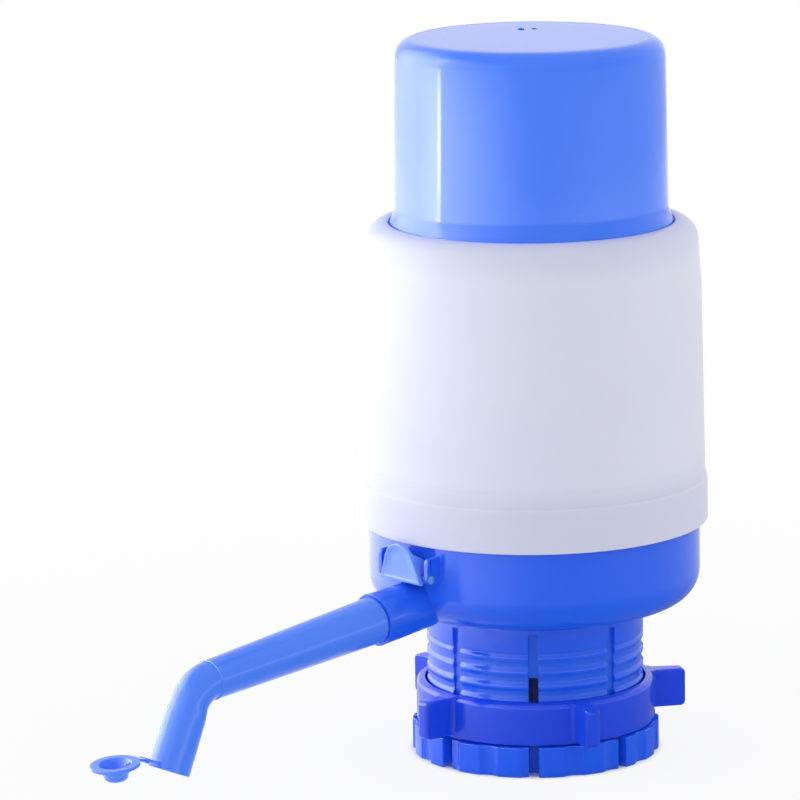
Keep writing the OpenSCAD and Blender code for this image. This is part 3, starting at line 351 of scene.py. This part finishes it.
def eased(node, width):
    """A merged copy of a moulded CAD part with its mould edges rounded."""
    piece = merged(node, node + "_moulding")
    bpy.ops.object.mode_set(mode="EDIT")
    bpy.ops.mesh.dissolve_limited(angle_limit=math.radians(1))
    bpy.ops.mesh.select_mode(type="EDGE")
    bpy.ops.mesh.select_all(action="DESELECT")
    bpy.ops.mesh.edges_select_sharp(sharpness=math.radians(ROUNDED_ABOVE))
    bpy.ops.object.mode_set(mode="OBJECT")
    mesh = piece.data
    chosen = mesh.attributes.new("bevel_weight_edge", "FLOAT", "EDGE")
    for edge in mesh.edges:
        one, other = (mesh.vertices[i].co for i in edge.vertices)
        if edge.select and not (node == "wing_nut" and at_wing_root((one + other) / 2)):
            chosen.data[edge.index].value = 1.0
    if node == "release_lever":
        dish_front(piece)
    modify(piece, "BEVEL", width=width * MM, segments=2, limit_method="WEIGHT",
           use_clamp_overlap=False, miter_outer="MITER_ARC")
    even(piece)
    return piece


# Press cap: flat top with a fine ring, round edge, drawn side, flared foot with the flange
# that keeps it in the cover, and the inner wall back up to the top
TOP = 196.8
CAP_EDGE = 4.8
FLARE_TOP = (37.1, 152)
cap_rings = [(0.35, TOP), (12, TOP), (22, TOP), (30.7, TOP)]
cap_rings += [(30.95, TOP - 0.07), (31.25, TOP - 0.07), (31.5, TOP - 0.01)]
cap_rings += arc(31.6, TOP - CAP_EDGE, CAP_EDGE, 89, 0, 14)
cap_rings += straight((36.4, TOP - CAP_EDGE), FLARE_TOP, 6)
cap_rings += [(FLARE_TOP[0] + 1.5 * (i / 8) ** 2, FLARE_TOP[1] - 5.2 * i / 8)
              for i in range(1, 9)]
cap_rings += [(38.6, 142.2), (38.8, 142), (40.4, 142), (40.6, 141.8), (40.6, 139.8)]
cap_rings += [(40.4, 139.6), (36.8, 139.6), (36.6, 139.8), (36.6, 146.8), (35.1, 151)]
cap_rings += arc(30.6, 190.5, 3.8, 0, 90, 8) + [(14, 194.3), (0.35, 194.3)]
press_cap = turned("press_cap_moulding", cap_rings)
# Two scars of the mould's gate lie behind the middle of the top
dent(press_cap, (-10.9, 12.2, TOP), 0.9)
dent(press_cap, (-13.0, 9.4, TOP), 1.3)
even(press_cap)
stand_in(press_cap, "press_cap", "cap")

# Cover: rounded skirt with its step, a fine line above it, straight side, soft shoulder, the
# thin lip around the cap, and the inner wall back down
LINE_TOP = (46.76, 81.6)
SHOULDER_MID = (39.6, 141.8)
cover_rings = [(45.6, 65.1), (45.8, 64.9), (47.1, 64.9), (47.38, 65.02), (47.5, 65.3)]
cover_rings += [(47.46, 70), (47.42, 75.6)] + arc(46.6, 76.4, 0.8, 0, 60, 4)
cover_rings += [(46.92, 77.6), (46.84, 78.4), (46.8, 79.9), (46.78, 81.2)]
cover_rings += [(46.7, 81.3), (46.7, 81.5), LINE_TOP]
cover_rings += straight(LINE_TOP, (45.9, 131), 6) + [(45.4, 137)]
cover_rings += arc(*SHOULDER_MID, 5.5, 2, 88, 14)
cover_rings += [(39.15, 147.2), (38.85, 147.0), (38.75, 146.7)]
cover_rings += [(38.75, 142.4), (38.9, 142.2), (40.5, 142.2)]
cover_rings += arc(*SHOULDER_MID, 3.7, 75.9, 0, 6)
cover_rings += [(44.1, 131), (45, 78), (45.6, 78), (45.6, 65.1)]
outer_cover = turned("outer_cover_moulding", cover_rings)
even(outer_cover)
stand_in(outer_cover, "outer_cover", "pump_body")

# The other moulded parts that show, with the width of their rounded edges
for node, width, body in (
        ("base", 0.2, "pump_body"), ("collar", 0.3, "pump_body"), ("wing_nut", 0.45, "nut"),
        ("release_lever", 0.25, "lever"), ("spout_tube", 0.3, "spout"),
        ("spout_cap", 0.15, "outlet_cap")):
    stand_in(eased(node, width), node, body)

# The bellows and its return spring between the base and the cap, each as a merged copy with a
# mesh of its own
for node in ("bellows", "return_spring"):
    folding = merged(node, node + "_folding")
    even(folding)
    stand_in(folding, node, "pump_body")
    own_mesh(folding)

# Hinge pin of the release lever with low domed heads on the outer faces of its lugs
PIN_PLACE = Vector((0, -47.6, 56.6))
pin_rings = [(0.2, 10.0), (0.55, 9.96), (0.9, 9.84), (1.15, 9.71), (0.8, 9.7), (0.8, 9)]
pin_rings += [(r, -x) for r, x in reversed(pin_rings)]
pin = turned("release_pin_moulding", pin_rings, sides=32)
only(pin)
bpy.ops.transform.rotate(value=math.radians(90), orient_axis="Y", center_override=(0, 0, 0))
bpy.ops.transform.translate(value=PIN_PLACE * MM)
bpy.ops.object.transform_apply(location=True, rotation=True, scale=True)
even(pin)
stand_in(pin, "release_pin", "pump_body")

# Camera at the photograph's place, 1.4 m off and 11 degrees above the middle of the pump.
# Its bearing and dip are in degrees, and its slight roll and pan in radians
CAMERA_BEARING = 46
CAMERA_REACH = 1.4099
CAMERA_HEIGHT = 0.3837
CAMERA_DIP = 11.485
CAMERA_ROLL = -0.00853
CAMERA_PAN = 0.02516
CAMERA_LENS = 237.708
aim = math.radians(CAMERA_BEARING)
camera = bpy.data.objects.new("camera", bpy.data.cameras.new("camera"))
scene.collection.objects.link(camera)
camera.location = (CAMERA_REACH * math.sin(aim), -CAMERA_REACH * math.cos(aim), CAMERA_HEIGHT)
camera.rotation_euler = (
    Matrix.Rotation(aim, 4, "Z") @ Matrix.Rotation(math.radians(90 - CAMERA_DIP), 4, "X")
    @ Matrix.Rotation(CAMERA_ROLL, 4, "Z") @ Matrix.Rotation(CAMERA_PAN, 4, "Y")).to_euler()
camera.data.sensor_width = 36
camera.data.lens = CAMERA_LENS
scene.camera = camera


# Studio light. Every bearing is in degrees to the photograph's left, seen from the pump

PANEL_REACH = 1.3
PANEL_HEIGHT = 0.4
PANEL_TARGET = (0, 0, 0.1)


def panel(name, bearing, side, glow):
    """A flat square lamp of an even glow, in watts per square metre and steradian."""
    lamp = bpy.data.lights.new(name, "AREA")
    lamp.size = side
    lamp.energy = glow * math.pi * side ** 2
    thing = bpy.data.objects.new(name, lamp)
    scene.collection.objects.link(thing)
    way = aim - math.radians(bearing)
    thing.location = (PANEL_REACH * math.sin(way), -PANEL_REACH * math.cos(way), PANEL_HEIGHT)
    facing = Vector(PANEL_TARGET) - thing.location
    thing.rotation_euler = facing.to_track_quat("-Z", "Y").to_euler()
    thing.visible_camera = False
    thing.visible_glossy = False


# Soft light from the left, and a weaker one from the right
panel("key_panel", 86, 1.0, 1.8)
panel("right_panel", -100, 0.8, 0.5)

# Light tent that only the gloss shows, as runs of bearing and glow: a tall white board with a
# bright front edge on the left, a soft glow before it and a dimmer right side. The runs are
# for the tent's foot, the height that the cap's side mirrors, the part above the boards and
# the roof. The low run is the side's without its bright edge, and lighter on the right
FOOT_GLOW = [
    (180, 0.8), (165, 1.2), (148, 1.9), (125, 3.8), (105, 6.0), (90, 8.0), (83.2, 9.0), (83, 12),
    (81.6, 12), (81.4, 6.4), (60, 5.8), (47, 5.4), (30, 4.4), (10, 2.7), (0, 2.2), (-20, 1.8),
    (-60, 1.4), (-107, 1.0), (-140, 0.75), (-180, 0.8),
]
SIDE_GLOW = [
    (180, 0.8), (165, 1.1), (148, 1.8), (125, 4.0), (105, 6.6), (92, 9.5), (82.0, 12.0),
    (81.8, 24), (80.2, 24), (80.0, 6.4), (70, 5.8), (55, 4.8), (42, 3.8), (28, 2.7), (18, 1.9),
    (8, 1.3), (-2, 0.9), (-10, 0.8), (-20, 0.85), (-40, 1.15), (-60, 1.3), (-107, 0.95),
    (-140, 0.75), (-180, 0.8),
]
LOW_GLOW = [(bearing, min(glow, 13) + (1.0 if -100 < bearing < 20 else 0.3))
            for bearing, glow in SIDE_GLOW]
HIGH_GLOW = [
    (180, 1.0), (150, 1.2), (125, 4.6), (86, 8.0), (76, 4.4), (40, 1.8), (10, 0.7), (-60, 0.6),
    (-110, 0.9), (-150, 1.0), (-180, 1.0),
]
ROOF_GLOW = [(180, 0.8), (-180, 0.8)]
# The boards' light on the floor, as the gloss shows it
FLOOR_GLOW = [
    (180, 1.6), (150, 3.0), (120, 5.0), (85, 6.0), (60, 4.8), (30, 2.6), (5, 1.2), (-20, 0.9),
    (-60, 1.2), (-107, 1.2), (-140, 1.2), (-180, 1.6),
]
TENT_RADIUS = 0.62
TENT_HEIGHT = 1.2


def around_pump(tree, place):
    """The bearing of a place around the pump, from 0 to 1, with 0.5 at the photograph's side."""
    turned_place = put(tree, "ShaderNodeMapping", [("Vector", place)],
                       Rotation=(0, 0, math.radians(90 - CAMERA_BEARING))).outputs["Vector"]
    return put(tree, "ShaderNodeTexGradient", [("Vector", turned_place)],
               gradient_type="RADIAL").outputs["Fac"]


def glow_around(tree, around, levels):
    """A soft run of glow levels around the pump."""
    most = max(level for _, level in levels)
    run = put(tree, "ShaderNodeValToRGB", [("Fac", around)])
    stops = run.color_ramp.elements
    stops[0].position, stops[1].position = 0, 1
    for bearing, _ in levels[1:-1]:
        stops.new(0.5 - bearing / 360)
    for stop, (_, level) in zip(stops, levels):
        stop.color = (level / most, level / most, level / most, 1)
    scaled = put(tree, "ShaderNodeMath", [(0, run.outputs["Color"])], operation="MULTIPLY")
    scaled.inputs[1].default_value = most
    return scaled.outputs["Value"]


bpy.ops.object.select_all(action="DESELECT")
bpy.ops.mesh.primitive_cylinder_add(vertices=128, radius=TENT_RADIUS, depth=TENT_HEIGHT,
                                    end_fill_type="NOTHING", location=(0, 0, TENT_HEIGHT / 2))
tent = bpy.context.object
tent.name = "light_tent"
bpy.ops.object.transform_apply(location=True, rotation=True, scale=True)
cloth, tree = material("lit_white_tent_cloth")
place = put(tree, "ShaderNodeTexCoord").outputs["Object"]
height = put(tree, "ShaderNodeSeparateXYZ", [("Vector", place)]).outputs["Z"]
around = around_pump(tree, place)
glow = glow_around(tree, around, FOOT_GLOW)
# Each run takes over from the one below it between two heights in metres
for levels, start, end in ((LOW_GLOW, 0.02, 0.05), (SIDE_GLOW, 0.065, 0.09),
                           (HIGH_GLOW, 0.1, 0.15), (ROOF_GLOW, 0.35, 1.1)):
    above = put(tree, "ShaderNodeMapRange", [("Value", height)],
                **from_to(start, end, soft=True)).outputs["Result"]
    upper = glow_around(tree, around, levels)
    glow = put(tree, "ShaderNodeMix",
               [("Factor", above), ("A", glow), ("B", upper)]).outputs["Result"]
shine = put(tree, "ShaderNodeEmission", [("Strength", glow)])
put(tree, "ShaderNodeOutputMaterial", [("Surface", shine.outputs["Emission"])])
cloth.cycles.emission_sampling = "NONE"
tent.data.materials.append(cloth)
tent.visible_camera = tent.visible_diffuse = False
tent.visible_shadow = tent.visible_transmission = False

# White room: plain white where the camera looks, brighter low down than overhead where it
# lights the pump, and a little softer where the gloss shows it
world = bpy.data.worlds.new("white_room")
scene.world = world
world.use_nodes = True
tree = world.node_tree
tree.nodes.clear()
ray = put(tree, "ShaderNodeLightPath")
seen = put(tree, "ShaderNodeMath",
           [(0, ray.outputs["Is Camera Ray"]), (1, ray.outputs["Is Transmission Ray"])],
           operation="MAXIMUM").outputs["Value"]
way = put(tree, "ShaderNodeTexCoord").outputs["Generated"]
rise = put(tree, "ShaderNodeSeparateXYZ", [("Vector", way)]).outputs["Z"]
walls = put(tree, "ShaderNodeMapRange", [("Value", rise)],
            **from_to(0.1, 0.9, 1.1, 0.76)).outputs["Result"]
level = put(tree, "ShaderNodeMix", [("Factor", seen), ("A", walls)], B=1.0).outputs["Result"]
shown = put(tree, "ShaderNodeMix", [("Factor", ray.outputs["Is Glossy Ray"]), ("A", level)],
            B=0.8).outputs["Result"]
room = put(tree, "ShaderNodeBackground", [("Strength", shown)], Color=(1, 1, 1, 1))
put(tree, "ShaderNodeOutputWorld", [("Surface", room.outputs["Background"])])

# Pale floor. To the camera its far part is plain white, and near the pump it keeps the
# shadow; the gloss shows the boards' light on it, weaker beside the pump's foot as painted
# shade, and painted shade darkens its tone near the pump. Its spans are between two distances
# from the pump's middle in metres, each with its two levels: of the plain white, of what is
# outside the foot, of the floor's tone and of the gloss
FLOOR_SPANS = [(0.08, 0.6, 0.88, 1.0), (0.031, 0.036, 0.0, 1.0), (0.05, 0.3, 0.8, 0.9),
               (0.04, 0.3, 0.2, 0.6)]
bpy.ops.object.select_all(action="DESELECT")
bpy.ops.mesh.primitive_plane_add(size=8)
floor = bpy.context.object
floor.name = "floor"
paint, tree = material("pale_floor_board")
ray = put(tree, "ShaderNodeLightPath")
place = put(tree, "ShaderNodeTexCoord").outputs["Object"]
reach = put(tree, "ShaderNodeVectorMath", [(0, place)], operation="LENGTH").outputs["Value"]
# Painted shade: the floor's tone and the boards' light in its gloss are darker near the pump
white, outside, shaded_tone, gloss = (
    put(tree, "ShaderNodeMapRange", [("Value", reach)],
        **from_to(*span, soft=True)).outputs["Result"]
    for span in FLOOR_SPANS)
share = put(tree, "ShaderNodeMath", [(0, white), (1, outside)],
            operation="MULTIPLY").outputs["Value"]
board = put(tree, "ShaderNodeBsdfDiffuse", [("Color", shaded_tone)]).outputs["BSDF"]
plain = put(tree, "ShaderNodeEmission").outputs["Emission"]
seen = put(tree, "ShaderNodeMixShader", [(0, share), (1, board), (2, plain)]).outputs["Shader"]
boards = glow_around(tree, around_pump(tree, place), FLOOR_GLOW)
glow = put(tree, "ShaderNodeMath", [(0, boards), (1, gloss)],
           operation="MULTIPLY").outputs["Value"]
lit = put(tree, "ShaderNodeEmission", [("Strength", glow)]).outputs["Emission"]
whole = put(tree, "ShaderNodeMixShader",
            [(0, ray.outputs["Is Camera Ray"]), (1, board), (2, seen)]).outputs["Shader"]
mixed = put(tree, "ShaderNodeMixShader",
            [(0, ray.outputs["Is Glossy Ray"]), (1, whole), (2, lit)]).outputs["Shader"]
put(tree, "ShaderNodeOutputMaterial", [("Surface", mixed)])
paint.cycles.emission_sampling = "NONE"
floor.data.materials.append(paint)

scene.view_settings.view_transform = "Standard"
